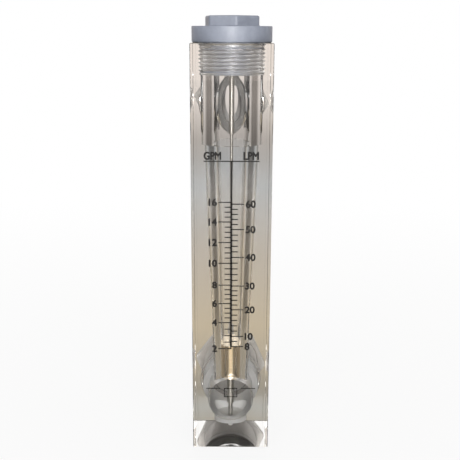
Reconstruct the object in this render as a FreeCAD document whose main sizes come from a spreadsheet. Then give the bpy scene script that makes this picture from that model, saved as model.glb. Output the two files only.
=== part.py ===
"""Block rotameter: a panel-mount variable-area flow meter in clear acrylic.

Liquid enters by the lower rear port, lifts the float up a tapered bore along a guide rod, and
leaves by the upper rear port. The frame has its origin on the block's base, on the axis of the
tapered bore, with +Z up and the graduated front face towards -Y. All sizes are in millimetres.
"""
import FreeCAD
import Part
import os
import re

import Sketcher

# Driving sizes: alias, value, what it is.
SIZES = [
    ("block_width", 51.0, "block, side to side"),
    ("block_length", 60.0, "block, front face to rear face"),
    ("block_height", 270.0, "block, base to top"),
    ("front_setback", 25.5, "front face to the axis of the tapered bore"),
    ("block_edge_break", 0.5, "chamfer on the block's outer edges"),
    ("mouth_bore", 40.6, "threaded mouth, at its pitch diameter"),
    ("mouth_length", 19.4, "threaded mouth, from the top"),
    ("chamber_bore", 39.2, "upper chamber"),
    ("chamber_drop", 62.8, "top of the block to the upper chamber's floor"),
    ("taper_top_bore", 35.2, "tapered bore at the chamber floor"),
    ("taper_low_bore", 22.6, "tapered bore at its lower end"),
    ("taper_rise", 14.8, "axis of the inlet port to the tapered bore's lower end"),
    ("inlet_height", 33.0, "axis of the inlet port"),
    ("sump_drop", 19.8, "axis of the inlet port to the floor of the main bore"),
    ("outlet_drop", 39.8, "top of the block to the axis of the outlet port"),
    ("inlet_chamber_bore", 30.5, "inlet chamber"),
    ("inlet_chamber_wall", 9.0, "acrylic in front of the inlet chamber"),
    ("port_bore", 38.8, "threaded rear port, at its pitch diameter"),
    ("port_length", 15.0, "threaded rear port, from the rear face"),
    ("outlet_break_in", 11.5, "outlet drilling past the end of its thread"),
    ("seal_seat", 1.8, "chamfered seat of every O-ring"),
    ("seal_slack", 0.02, "clearance of an O-ring in its seat"),
    ("thread_slack", 0.1, "radial clearance of a screwed piece"),
    ("rod_diameter", 3.0, "guide rod"),
    ("rod_socket_length", 5.0, "socket of the rod in the block"),
    ("rod_plug_length", 10.0, "socket of the rod in the plug"),
    ("rod_slack", 0.03, "clearance of the rod in its sockets and sleeves"),
    ("sleeve_diameter", 5.0, "float stops, outside"),
    ("upper_stop_length", 38.0, "upper float stop, below the plug's shank"),
    ("lower_stop_length", 23.0, "lower float stop"),
    ("lower_stop_drop", 10.1, "axis of the inlet port to the lower end of the lower float stop"),
    ("float_diameter", 21.0, "float"),
    ("float_length", 24.2, "float"),
    ("float_chamfer", 0.6, "float, lower rim; the upper rim is the sharp reading edge"),
    ("float_guide_slack", 0.3, "radial clearance of the float on the rod"),
    ("float_rest_gap", 0.1, "float above its lower stop at rest"),
    ("flange_inset", 0.1, "rim of the plug's flange inside the block's sides"),
    ("flange_thickness", 10.0, "flange of the plug"),
    ("flange_rim", 1.2, "chamfered lower rim of the plug's flange"),
    ("flange_edge", 0.4, "chamfered upper rim of the plug's flange"),
    ("plug_hex_width", 31.7, "hexagon of the plug, across flats"),
    ("plug_hex_thickness", 6.3, "hexagon of the plug"),
    ("plug_hex_rounding", 1.2, "rim of the plug's hexagon"),
    ("plug_hex_turn", 39.0, "hexagon of the plug, turned about the bore"),
    ("adapter_thread", 40.0, "external thread of an adapter's barrel"),
    ("adapter_bore", 25.5, "passage through an adapter"),
    ("adapter_reach", 45.0, "adapter behind the rear face"),
    ("adapter_chamfer", 1.0, "free end of an adapter's barrel"),
    ("collar_diameter", 43.5, "collar of an adapter"),
    ("collar_thickness", 4.0, "collar of an adapter"),
    ("pipe_thread", 31.8, "internal pipe thread, at its pitch diameter"),
    ("pipe_thread_length", 19.0, "internal pipe thread"),
    ("wrench_flat_width", 37.0, "wrench flats of an adapter, across flats"),
    ("wrench_flat_length", 9.0, "wrench flats of an adapter"),
    ("nut_width", 46.2, "panel nut, across flats"),
    ("nut_thickness", 5.0, "panel nut"),
    ("nut_chamfer", 0.8, "corners of the panel nut"),
    ("nut_setback", 29.8, "rear face of the block to the panel nut"),
    ("nut_turn", 7.0, "panel nut, turned about its port"),
]

doc = FreeCAD.newDocument("block_rotameter")
sheet = doc.addObject("Spreadsheet::Sheet", "Sizes")
for row, (alias, value, meaning) in enumerate(SIZES, start=1):
    sheet.set("A%d" % row, alias)
    sheet.set("B%d" % row, str(value))
    sheet.set("C%d" % row, meaning)
    sheet.setAlias("B%d" % row, alias)
doc.recompute()

SUB_PARTS = []
HORIZONTAL = -1
VERTICAL = -2


def from_sheet(formula):
    """The formula with each alias looked up in the sheet."""
    return re.sub("[a-z]+_[a-z_]+", lambda word: "Sizes." + word.group(0), formula)


def bind(obj, prop, formula):
    """Tie a property to the sheet."""
    obj.setExpression(prop, from_sheet(formula))


def evaluate(formula):
    """Number that a formula of sheet aliases gives now."""
    return float(sheet.evalExpression(from_sheet(formula)))


def new_body(label):
    """Start a sub-part; its label names its file."""
    body = doc.addObject("PartDesign::Body", label)
    body.Label = label
    SUB_PARTS.append(body)
    return body


def plane(body, role):
    """One of the body's own origin planes, such as XZ_Plane."""
    return next(f for f in body.Origin.OriginFeatures if f.Role == role)


def new_sketch(body, name, role, rise=None, lift=None):
    """Sketch on an origin plane, raised along the plane (rise) or off it (lift) by a formula."""
    sketch = body.newObject("Sketcher::SketchObject", name)
    sketch.AttachmentSupport = [(plane(body, role), "")]
    sketch.MapMode = "FlatFace"
    if rise:
        bind(sketch, ".AttachmentOffset.Base.y", rise)
    if lift:
        bind(sketch, ".AttachmentOffset.Base.z", lift)
    return sketch


def outline(sketch, corners):
    """Closed outline of straight edges; each corner is a pair of formulas for its two coordinates."""
    guess = [tuple(evaluate(text) for text in corner) for corner in corners]
    count = len(corners)
    for i in range(count):
        start = FreeCAD.Vector(*guess[i], 0)
        end = FreeCAD.Vector(*guess[(i + 1) % count], 0)
        sketch.addGeometry(Part.LineSegment(start, end), False)
    for i in range(count):
        sketch.addConstraint(Sketcher.Constraint("Coincident", i, 2, (i + 1) % count, 1))
    for i, corner in enumerate(corners):
        for kind, axis, text, value in zip(("DistanceX", "DistanceY"), (VERTICAL, HORIZONTAL),
                                           corner, guess[i]):
            if text == "0":
                sketch.addConstraint(Sketcher.Constraint("PointOnObject", i, 1, axis))
                continue
            index = sketch.addConstraint(Sketcher.Constraint(kind, -1, 1, i, 1, value))
            bind(sketch, "Constraints[%d]" % index, text)


def hexagon(sketch, width, turn):
    """Regular hexagon about the sketch's origin: width across flats, turned by an angle."""
    radius = evaluate(width) / 3 ** 0.5
    first = evaluate(turn)
    ring = sketch.addGeometry(Part.Circle(FreeCAD.Vector(0, 0, 0), FreeCAD.Vector(0, 0, 1), radius), True)
    sketch.addConstraint(Sketcher.Constraint("Coincident", ring, 3, -1, 1))
    index = sketch.addConstraint(Sketcher.Constraint("Radius", ring, radius))
    bind(sketch, "Constraints[%d]" % index, width + " / sqrt(3)")
    spin = FreeCAD.Rotation(FreeCAD.Vector(0, 0, 1), first)
    corners = []
    for i in range(6):
        step = FreeCAD.Rotation(FreeCAD.Vector(0, 0, 1), 60 * i)
        corners.append(spin.multiply(step).multVec(FreeCAD.Vector(radius, 0, 0)))
    sides = [sketch.addGeometry(Part.LineSegment(corners[i], corners[(i + 1) % 6]), False)
             for i in range(6)]
    for i, side in enumerate(sides):
        sketch.addConstraint(Sketcher.Constraint("Coincident", side, 2, sides[(i + 1) % 6], 1))
        sketch.addConstraint(Sketcher.Constraint("PointOnObject", side, 1, ring))
        if i:
            sketch.addConstraint(Sketcher.Constraint("Equal", sides[0], side))
    spoke = sketch.addGeometry(Part.LineSegment(FreeCAD.Vector(0, 0, 0), corners[0]), True)
    sketch.addConstraint(Sketcher.Constraint("Coincident", spoke, 1, -1, 1))
    sketch.addConstraint(Sketcher.Constraint("Coincident", spoke, 2, sides[0], 1))
    angle = first * 3.141592653589793 / 180
    index = sketch.addConstraint(Sketcher.Constraint("Angle", -1, 1, spoke, 1, angle))
    bind(sketch, "Constraints[%d]" % index, turn + " * 1deg")


def spin_feature(body, kind, name, sketch, axis):
    """Revolution or Groove of a sketch through a full turn about one of its own axes."""
    feature = body.newObject("PartDesign::" + kind, name)
    feature.Profile = sketch
    feature.ReferenceAxis = (sketch, [axis])
    feature.Angle = 360
    return feature


def extrude(body, kind, name, sketch, formula, reverse=False):
    """Pad or Pocket of a sketch by a length."""
    feature = body.newObject("PartDesign::" + kind, name)
    feature.Profile = sketch
    feature.Reversed = reverse
    bind(feature, "Length", formula)
    return feature


def dress(body, kind, name, base, edges, formula):
    """Fillet or Chamfer on the edges of a feature that a test picks out."""
    doc.recompute()
    picked = ["Edge%d" % (i + 1) for i, edge in enumerate(base.Shape.Edges) if edges(edge)]
    feature = body.newObject("PartDesign::" + kind, name)
    feature.Base = (base, picked)
    bind(feature, "Radius" if kind == "Fillet" else "Size", formula)
    return feature


def make_block():
    """Acrylic block: stepped and tapered bore from the top, two ports from the rear."""
    body = new_body("body_block")
    section = new_sketch(body, "BlockSection", "XY_Plane")
    half = "block_width / 2"
    rear = "block_length - front_setback"
    outline(section, [("-" + half, "-front_setback"), (half, "-front_setback"),
                      (half, rear), ("-" + half, rear)])
    prism = extrude(body, "Pad", "BlockPrism", section, "block_height")
    eased = dress(body, "Chamfer", "BlockEdgeBreak", prism, lambda edge: True, "block_edge_break")
    doc.recompute()
    solid_volume = eased.Shape.Volume

    # Main bore, from the top: seat of the O-ring, threaded mouth, chamber, tapered tube, then
    # straight down through the inlet chamber to its floor.
    main = new_sketch(body, "MainBoreProfile", "XZ_Plane")
    outline(main, [
        ("0", "block_height"),
        ("mouth_bore / 2 + seal_seat", "block_height"),
        ("mouth_bore / 2", "block_height - seal_seat"),
        ("mouth_bore / 2", "block_height - mouth_length"),
        ("chamber_bore / 2", "block_height - mouth_length"),
        ("chamber_bore / 2", "block_height - chamber_drop"),
        ("taper_top_bore / 2", "block_height - chamber_drop"),
        ("taper_low_bore / 2", "inlet_height + taper_rise"),
        ("taper_low_bore / 2", "inlet_height - sump_drop"),
        ("0", "inlet_height - sump_drop"),
    ])
    spin_feature(body, "Groove", "MainBore", main, "V_Axis")

    # Rear ports: seat of the O-ring, thread, then the drilling that meets the main bore.
    port_end = rear + " - port_length"
    seat_end = rear + " - seal_seat"
    seat_edge = "port_bore / 2 + seal_seat"
    inlet = new_sketch(body, "InletPortProfile", "YZ_Plane", rise="inlet_height")
    outline(inlet, [
        (rear, "0"), (rear, seat_edge), (seat_end, "port_bore / 2"), (port_end, "port_bore / 2"),
        (port_end, "inlet_chamber_bore / 2"),
        ("inlet_chamber_wall - front_setback", "inlet_chamber_bore / 2"),
        ("inlet_chamber_wall - front_setback", "0"),
    ])
    spin_feature(body, "Groove", "InletPort", inlet, "H_Axis")
    outlet = new_sketch(body, "OutletPortProfile", "YZ_Plane", rise="block_height - outlet_drop")
    outline(outlet, [
        (rear, "0"), (rear, seat_edge), (seat_end, "port_bore / 2"),
        (port_end + " - outlet_break_in", "port_bore / 2"),
        (port_end + " - outlet_break_in", "0"),
    ])
    spin_feature(body, "Groove", "OutletPort", outlet, "H_Axis")

    # Socket of the guide rod in the floor of the main bore.
    socket = new_sketch(body, "RodSocketProfile", "XZ_Plane")
    socket_end = "inlet_height - sump_drop - rod_socket_length"
    outline(socket, [("0", "inlet_height"), ("rod_diameter / 2 + rod_slack", "inlet_height"),
                     ("rod_diameter / 2 + rod_slack", socket_end), ("0", socket_end)])
    spin_feature(body, "Groove", "RodSocket", socket, "V_Axis")
    doc.recompute()
    if body.Shape.Volume > 0.85 * solid_volume:
        raise RuntimeError("the bores did not cut the block")


def make_plug():
    """Hexagon-headed plug with a flange and a screwed shank that holds the top of the rod."""
    body = new_body("top_plug")
    turned = new_sketch(body, "PlugProfile", "XZ_Plane")
    shank = "mouth_bore / 2 - thread_slack"
    bottom = "block_height - mouth_length"
    rod_hole = "rod_diameter / 2 + rod_slack"
    flange = "block_width / 2 - flange_inset"
    flange_top = "block_height + flange_thickness"
    outline(turned, [
        ("0", bottom + " + rod_plug_length"),
        (rod_hole, bottom + " + rod_plug_length"),
        (rod_hole, bottom),
        (shank, bottom),
        (shank, "block_height"),
        (flange + " - flange_rim", "block_height"),
        (flange, "block_height + flange_rim"),
        (flange, flange_top + " - flange_edge"),
        (flange + " - flange_edge", flange_top),
        ("0", flange_top),
    ])
    spin_feature(body, "Revolution", "PlugTurned", turned, "V_Axis")
    hexagonal = new_sketch(body, "PlugHexagon", "XY_Plane", lift=flange_top)
    doc.recompute()
    hexagon(hexagonal, "plug_hex_width", "plug_hex_turn")
    head = extrude(body, "Pad", "PlugHead", hexagonal, "plug_hex_thickness")
    doc.recompute()
    top = head.Shape.BoundBox.ZMax

    def is_top(edge):
        return edge.BoundBox.ZMin > top - 1e-6
    dress(body, "Fillet", "HeadRounding", head, is_top, "plug_hex_rounding")


def make_turned(label, corners, axis="V_Axis"):
    """Sub-part that is one turned profile."""
    body = new_body(label)
    profile = new_sketch(body, label + "_profile", "XZ_Plane")
    outline(profile, corners)
    spin_feature(body, "Revolution", label + "_turned", profile, axis)
    return body


def make_rod_and_float():
    """Guide rod, the two stop sleeves on it and the float between them."""
    rod = "rod_diameter / 2"
    rod_bottom = "inlet_height - sump_drop - rod_socket_length"
    rod_top = "block_height - mouth_length + rod_plug_length - rod_slack"
    make_turned("guide_rod", [("0", rod_bottom), (rod, rod_bottom), (rod, rod_top), ("0", rod_top)])

    inner = "rod_diameter / 2 + rod_slack"
    outer = "sleeve_diameter / 2"
    shank_end = "block_height - mouth_length"
    low_stop = "inlet_height - lower_stop_drop"
    spans = {
        "upper_float_stop": (shank_end + " - upper_stop_length", shank_end),
        "lower_float_stop": (low_stop, low_stop + " + lower_stop_length"),
    }
    for label, (low, high) in spans.items():
        make_turned(label, [(inner, low), (outer, low), (outer, high), (inner, high)])

    guide = "rod_diameter / 2 + float_guide_slack"
    side = "float_diameter / 2"
    float_body = make_turned("float", [
        (guide, "0"),
        (side + " - float_chamfer", "0"),
        (side, "float_chamfer"),
        (side, "float_length"),
        (guide, "float_length"),
    ])
    bind(float_body, ".Placement.Base.z", low_stop + " + lower_stop_length + float_rest_gap")


def make_adapter(label, height):
    """Screwed adapter: nipple, collar, threaded barrel with wrench flats, pipe thread inside.

    Its own frame has +Z along the port, away from the rear face; it is laid over to point along +Y.
    """
    body = new_body(label)
    profile = new_sketch(body, label + "_profile", "XZ_Plane")
    nipple = "port_bore / 2 - thread_slack"
    barrel = "adapter_thread / 2"
    outline(profile, [
        ("adapter_bore / 2", "-port_length"),
        (nipple, "-port_length"),
        (nipple, "0"),
        ("collar_diameter / 2", "0"),
        ("collar_diameter / 2", "collar_thickness"),
        (barrel, "collar_thickness"),
        (barrel, "adapter_reach - adapter_chamfer"),
        (barrel + " - adapter_chamfer", "adapter_reach"),
        ("pipe_thread / 2", "adapter_reach"),
        ("pipe_thread / 2", "adapter_reach - pipe_thread_length"),
        ("adapter_bore / 2", "adapter_reach - pipe_thread_length"),
    ])
    spin_feature(body, "Revolution", label + "_turned", profile, "V_Axis")
    doc.recompute()
    turned_volume = body.Shape.Volume
    for side, sign in (("left", "-"), ("right", "")):
        cut = new_sketch(body, label + "_flat_" + side, "XY_Plane",
                         lift="adapter_reach - wrench_flat_length")
        near = sign + "wrench_flat_width / 2"
        far = sign + "adapter_thread / 2"
        outline(cut, [(near, "-adapter_thread / 2"), (far, "-adapter_thread / 2"),
                      (far, "adapter_thread / 2"), (near, "adapter_thread / 2")])
        extrude(body, "Pocket", label + "_flat_cut_" + side, cut, "wrench_flat_length", reverse=True)
    doc.recompute()
    if body.Shape.Volume > turned_volume - 1:
        raise RuntimeError("the wrench flats of %s cut nothing" % label)
    lay_over(body, "block_length - front_setback", height)


def lay_over(body, setback, height):
    """Turn a piece made along +Z to point along +Y, and move it to its port."""
    body.Placement = FreeCAD.Placement(FreeCAD.Vector(0, 0, 0),
                                       FreeCAD.Rotation(FreeCAD.Vector(1, 0, 0), -90))
    bind(body, ".Placement.Base.y", setback)
    bind(body, ".Placement.Base.z", height)


def make_nut(label, height):
    """Thin hexagon panel nut on an adapter's barrel, its corners chamfered on the outer face."""
    body = new_body(label)
    section = new_sketch(body, label + "_hexagon", "XY_Plane")
    doc.recompute()
    hexagon(section, "nut_width", "nut_turn")
    extrude(body, "Pad", label + "_prism", section, "nut_thickness")
    doc.recompute()
    prism_volume = body.Shape.Volume
    hole = new_sketch(body, label + "_hole_profile", "XZ_Plane")
    bore = "adapter_thread / 2 + thread_slack"
    outline(hole, [("0", "0"), (bore, "0"), (bore, "nut_thickness"), ("0", "nut_thickness")])
    spin_feature(body, "Groove", label + "_hole", hole, "V_Axis")
    # The corner chamfer is a cone on the outer face, which leaves the flats and takes the corners.
    corner = "nut_width / sqrt(3)"
    cone = new_sketch(body, label + "_chamfer", "XZ_Plane")
    outline(cone, [
        (corner + " - 2 * nut_chamfer", "nut_thickness"),
        (corner + " + nut_chamfer", "nut_thickness"),
        (corner + " + nut_chamfer", "nut_thickness - nut_chamfer"),
        (corner, "nut_thickness - nut_chamfer"),
    ])
    spin_feature(body, "Groove", label + "_corners", cone, "V_Axis")
    doc.recompute()
    if body.Shape.Volume > prism_volume - 1:
        raise RuntimeError("the hole of %s cut nothing" % label)
    lay_over(body, "block_length - front_setback + nut_setback", height)


def make_seal(label, hole, setback, height, laid):
    """Seal that fills the chamfered seat round a threaded hole but for a small clearance.

    It is an O-ring squeezed into its seat, kept plain as a ring of three-cornered section.
    """
    inner = hole + " / 2"
    body = make_turned(label, [
        (inner, "2 * seal_slack - seal_seat"),
        (inner + " + seal_seat - 3 * seal_slack", "-seal_slack"),
        (inner, "-seal_slack"),
    ])
    if laid:
        lay_over(body, setback, height)
    else:
        bind(body, ".Placement.Base.z", height)


make_block()
make_plug()
make_rod_and_float()
make_seal("plug_o_ring", "mouth_bore", "0", "block_height", laid=False)
for port, port_height in (("inlet", "inlet_height"), ("outlet", "block_height - outlet_drop")):
    make_adapter(port + "_adapter", port_height)
    make_nut(port + "_panel_nut", port_height)
    make_seal(port + "_o_ring", "port_bore", "block_length - front_setback", port_height, laid=True)
doc.recompute()

for item in doc.Objects:
    if "Invalid" in item.State or "Error" in item.State:
        raise RuntimeError("%s failed: %s" % (item.Label, item.State))
for item in SUB_PARTS:
    if item.Shape.isNull() or not item.Shape.isValid() or len(item.Shape.Solids) != 1:
        raise RuntimeError("%s is not one valid solid" % item.Label)

os.makedirs("parts", exist_ok=True)
for item in SUB_PARTS:
    item.Shape.exportStep(os.path.join("parts", item.Label + ".step"))
    box = item.Shape.BoundBox
    print("%-18s volume %10.1f  z %7.2f to %7.2f" % (item.Label, item.Shape.Volume, box.ZMin, box.ZMax))
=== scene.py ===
"""Looks of the block rotameter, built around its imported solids.

The meter is a clear acrylic block with a tapered bore. A steel float rides up a guide rod in that
bore, a grey PVC plug closes the top and two grey PVC adapters are screwed into the rear.
"""

import math

import bmesh
import bpy
import numpy as np
from mathutils import Matrix, Vector


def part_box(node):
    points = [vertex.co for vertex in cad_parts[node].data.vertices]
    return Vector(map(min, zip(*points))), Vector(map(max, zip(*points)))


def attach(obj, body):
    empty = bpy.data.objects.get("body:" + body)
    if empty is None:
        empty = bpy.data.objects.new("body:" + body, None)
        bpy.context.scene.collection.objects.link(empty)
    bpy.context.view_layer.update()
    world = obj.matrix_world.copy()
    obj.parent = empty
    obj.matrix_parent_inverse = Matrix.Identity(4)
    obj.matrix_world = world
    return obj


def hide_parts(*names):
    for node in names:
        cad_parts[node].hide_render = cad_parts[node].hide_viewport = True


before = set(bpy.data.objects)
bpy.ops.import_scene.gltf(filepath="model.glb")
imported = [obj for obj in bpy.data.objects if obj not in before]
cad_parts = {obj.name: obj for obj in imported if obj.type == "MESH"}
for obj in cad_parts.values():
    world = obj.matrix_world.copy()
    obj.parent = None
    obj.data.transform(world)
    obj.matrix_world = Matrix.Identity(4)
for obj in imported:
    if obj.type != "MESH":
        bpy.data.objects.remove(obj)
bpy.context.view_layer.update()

# Lengths are in metres; the block stands on z = 0.
MM = 0.001

# Places read from the frame.
block_low, block_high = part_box("body_block")
plug_low, plug_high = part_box("top_plug")
rod_low, rod_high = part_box("guide_rod")
float_low, float_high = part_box("float")
inlet_low, inlet_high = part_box("inlet_adapter")
outlet_low, outlet_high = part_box("outlet_adapter")
nut_low, nut_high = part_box("inlet_panel_nut")
FRONT = block_low.y
REAR = block_high.y
TOP = block_high.z
INLET_Z = (inlet_low.z + inlet_high.z) / 2
OUTLET_Z = (outlet_low.z + outlet_high.z) / 2
SHANK_END = plug_low.z

# The block's broken edges; those of the rear face are only deburred.
EDGE_BREAK = 0.4 * MM
REAR_BREAK = 0.15 * MM

# The main bore from the top down: seat of the O-ring, mouth, chamber, taper, straight drilling and
# sump, with the rod's socket below it.
SEAL_SEAT = 1.8 * MM
MOUTH_RADIUS = 20.3 * MM
CHAMBER_RADIUS = 19.6 * MM
CHAMBER_FLOOR = TOP - 62.8 * MM
TAPER_TOP_RADIUS = 17.6 * MM
TAPER_LOW_RADIUS = 11.3 * MM
TAPER_LOW_Z = INLET_Z + 14.8 * MM
SUMP_FLOOR = INLET_Z - 19.8 * MM
ROD_RADIUS = 1.5 * MM
ROD_SLACK = 0.03 * MM
SLEEVE_RADIUS = 2.5 * MM

# The rear ports, the inlet's chamber and the outlet's way into the main bore. Lengths along a port
# count from the rear face, negative into the block.
PORT_RADIUS = 19.4 * MM
PORT_LENGTH = 15.0 * MM
INLET_CHAMBER_RADIUS = 15.25 * MM
INLET_CHAMBER_WALL = 9.0 * MM
INLET_CHAMBER_END = FRONT + INLET_CHAMBER_WALL - REAR
OUTLET_END = -PORT_LENGTH - 11.5 * MM

# Threads: pitch, half the depth of the form, and the spacing of the rows that draw it.
MOUTH_PITCH = 2.309 * MM
MOUTH_THREAD_HALF_DEPTH = 0.66 * MM
MOUTH_THREAD_STEP = MOUTH_PITCH / 12
PORT_PITCH = 2.0 * MM
PORT_THREAD_HALF_DEPTH = 0.52 * MM
PORT_THREAD_STEP = PORT_PITCH / 10
FITTING_THREAD_STEP = PORT_PITCH / 8
PIPE_RADIUS = 15.9 * MM
PIPE_PITCH = 2.309 * MM
PIPE_THREAD_HALF_DEPTH = 0.7 * MM
PIPE_THREAD_STEP = PIPE_PITCH / 7
THREAD_SLACK = 0.1 * MM

# Points closer than this are one point.
MERGE_DISTANCE = 0.0001 * MM


# ---------------------------------------------------------------- numpy surfaces

def angles(columns, first=0.0):
    """Column angles: a full turn in equal steps from a first angle."""
    return first + np.arange(columns) * (2 * math.pi / columns)


def grid_faces(rows, columns, closed=False):
    """Quads of a grid whose columns wrap round; with closed, its last row joins its first."""
    row = np.arange(rows if closed else rows - 1)[:, None]
    column = np.arange(columns)[None, :]
    here = row * columns
    above = (row + 1) % rows * columns
    beside = (column + 1) % columns
    return np.stack([here + column, here + beside, above + beside, above + column], -1).reshape(-1, 4)


def thread_wave(turns):
    """Thread form: a triangle wave of height 1 each way, its crests and roots rounded.

    The arcsine of a sine is a triangle wave, and a factor under 1 inside it rounds the tips.
    """
    sharpness = 0.965
    return np.arcsin(sharpness * np.sin(2 * math.pi * turns)) / math.asin(sharpness)


def thread(angle, along, radius, half_depth, pitch, start, end, run_out):
    """Radius of a right-hand screw: the pitch radius plus the thread form of along / pitch - turn.

    The depth fades in over run_out after start and out again before end.
    """
    fade = np.clip(np.minimum(along - start, end - along) / run_out, 0, 1)
    fade = fade * fade * (3 - 2 * fade)
    return radius + half_depth * fade * thread_wave(along / pitch - angle / (2 * math.pi))


def steps(start, end, spacing):
    """Places from start to end, both included, about one spacing apart."""
    return np.linspace(start, end, max(2, 1 + round(abs(end - start) / spacing)))


def revolve(radii, along, turn):
    """Points at the given radii round the Z axis, at the heights along it; arrays of rows by columns."""
    return np.stack([radii * np.cos(turn), radii * np.sin(turn), along + 0 * radii], -1)


def rows_of(profile, turn):
    """Radii and heights of a grid: rows by the angles of turn.

    An entry of a radius and a height gives one circle. An entry of heights and a radius function of
    the angle and the height gives a row for each height, so a thread lies between plain stretches.
    """
    radii = []
    heights = []
    for first, second in profile:
        if callable(second):
            place = np.asarray(first)[:, None]
            radii.append(second(turn[None, :], place) + 0 * turn)
            heights.append(place + 0 * turn)
        else:
            radii.append(np.full((1, len(turn)), first))
            heights.append(np.full((1, len(turn)), second))
    return np.concatenate(radii), np.concatenate(heights)


def lay_over(points, height):
    """Turn points made along +Z to lie along +Y, and set them at the rear face at a height."""
    return np.stack([points[..., 0], REAR + points[..., 2], height - points[..., 1]], -1)


def link_object(name, data):
    """Object of a mesh, curve, lamp or camera, put in the scene."""
    obj = bpy.data.objects.new(name, data)
    bpy.context.scene.collection.objects.link(obj)
    return obj


def new_mesh(name, points, faces, sharp_angle=30.0):
    """Mesh object of points and faces: doubles merged, faces outwards, sharp above an angle."""
    mesh = bpy.data.meshes.new(name)
    mesh.from_pydata(np.asarray(points).reshape(-1, 3).tolist(), [], faces)
    work = bmesh.new()
    work.from_mesh(mesh)
    bmesh.ops.remove_doubles(work, verts=work.verts, dist=MERGE_DISTANCE)
    bmesh.ops.recalc_face_normals(work, faces=work.faces)
    work.to_mesh(mesh)
    work.free()
    mesh.shade_smooth()
    mesh.set_sharp_from_angle(angle=math.radians(sharp_angle))
    return link_object(name, mesh)


def dress(obj, material, slot, body, *nodes):
    """Give a piece its material, its body and the CAD nodes that it stands for; slot is not used."""
    obj.data.materials.clear()
    obj.data.materials.append(material)
    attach(obj, body)
    if nodes:
        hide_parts(*nodes)
    return obj


def rim(radius, height, size, quarter, count=6):
    """Rounded edge of a turned profile: a quarter circle of the given size about a centre.

    quarter is the first and last angle of the arc, in quarter turns from the +radius direction.
    """
    turn = np.linspace(quarter[0], quarter[1], count) * math.pi / 2
    return [(radius + size * math.cos(a), height + size * math.sin(a)) for a in turn]


# ---------------------------------------------------------------- radii of the block's bores
# Each takes the angle round a bore's axis and the length along it.

def mouth_thread(angle, z):
    """Thread in the mouth: 1-1/4 inch parallel pipe thread down to the shank's end."""
    top = TOP - SEAL_SEAT
    return thread(angle, z, MOUTH_RADIUS, MOUTH_THREAD_HALF_DEPTH, MOUTH_PITCH, SHANK_END, top,
                  MOUTH_PITCH)


def mouth_seat(angle, z):
    """Chamfered seat of the O-ring, a cone at 45 degrees."""
    return MOUTH_RADIUS + (z - TOP + SEAL_SEAT)


def chamber_wall(angle, z):
    """Upper chamber, a plain cylinder."""
    return CHAMBER_RADIUS + 0 * z


def taper_wall(angle, z):
    """Tapered bore: the radius falls in a straight line from the chamber floor to the lower end."""
    share = (z - TAPER_LOW_Z) / (CHAMBER_FLOOR - TAPER_LOW_Z)
    return TAPER_LOW_RADIUS + (TAPER_TOP_RADIUS - TAPER_LOW_RADIUS) * share


def low_wall(angle, z):
    """Straight drilling below the tapered bore, down to its floor."""
    return TAPER_LOW_RADIUS + 0 * z


def port_thread(angle, along):
    """Thread of a rear port; along runs from the rear face into the block as a negative length."""
    return thread(angle, along, PORT_RADIUS, PORT_THREAD_HALF_DEPTH, PORT_PITCH, -PORT_LENGTH,
                  -SEAL_SEAT, PORT_PITCH)


def port_seat(angle, along):
    """Chamfered seat of a port's O-ring, a cone at 45 degrees."""
    return PORT_RADIUS + (along + SEAL_SEAT)


def port_wall(angle, along):
    """Outlet drilling past its thread."""
    return PORT_RADIUS + 0 * along


def inlet_chamber_wall(angle, along):
    """Inlet chamber, cross-drilled from the rear."""
    return INLET_CHAMBER_RADIUS + 0 * along


def socket_wall(angle, z):
    """Socket of the guide rod."""
    return ROD_RADIUS + ROD_SLACK + 0 * z


BLOCK_COLUMNS = 256
SOCKET_COLUMNS = 64
# Heights just past an opening keep a tool's end clear of the face that it opens.
PAST = 0.3 * MM
# Each wall: its axis, its span along that axis and its radius function.
BORE_WALLS = [
    ("main", TOP - SEAL_SEAT, TOP, mouth_seat),
    ("main", SHANK_END, TOP - SEAL_SEAT, mouth_thread),
    ("main", CHAMBER_FLOOR, SHANK_END, chamber_wall),
    ("main", TAPER_LOW_Z, CHAMBER_FLOOR, taper_wall),
    ("main", SUMP_FLOOR, TAPER_LOW_Z, low_wall),
    ("main", rod_low.z, SUMP_FLOOR, socket_wall),
    ("inlet", -SEAL_SEAT, 0.0, port_seat),
    ("inlet", -PORT_LENGTH, -SEAL_SEAT, port_thread),
    ("inlet", INLET_CHAMBER_END, -PORT_LENGTH, inlet_chamber_wall),
    ("outlet", -SEAL_SEAT, 0.0, port_seat),
    ("outlet", -PORT_LENGTH, -SEAL_SEAT, port_thread),
    ("outlet", OUTLET_END, -PORT_LENGTH, port_wall),
]


def block_ring(inset, z):
    """Eight corners of the block's outline at a height, drawn in by an inset.

    The four corners are cut, the rear pair finer than the front pair.
    """
    x0, x1 = block_low.x + inset, block_high.x - inset
    y0, y1 = FRONT + inset, REAR - inset
    cut, fine = EDGE_BREAK, REAR_BREAK
    return [(x0 + cut, y0, z), (x1 - cut, y0, z), (x1, y0 + cut, z), (x1, y1 - fine, z),
            (x1 - fine, y1, z), (x0 + fine, y1, z), (x0, y1 - fine, z), (x0, y0 + cut, z)]


def block_shell():
    """Outer prism: a rectangle with cut corners carried up Z, drawn in at both ends by the chamfer."""
    cut = EDGE_BREAK
    rings = [block_ring(cut, 0.0), block_ring(0.0, cut), block_ring(0.0, TOP - cut), block_ring(cut, TOP)]
    corners = len(rings[0])
    faces = grid_faces(len(rings), corners).tolist()
    foot = list(range(corners))
    faces.append(foot[::-1])
    faces.append([(len(rings) - 1) * corners + corner for corner in foot])
    return new_mesh("block_shell", np.array(rings), faces)


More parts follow.
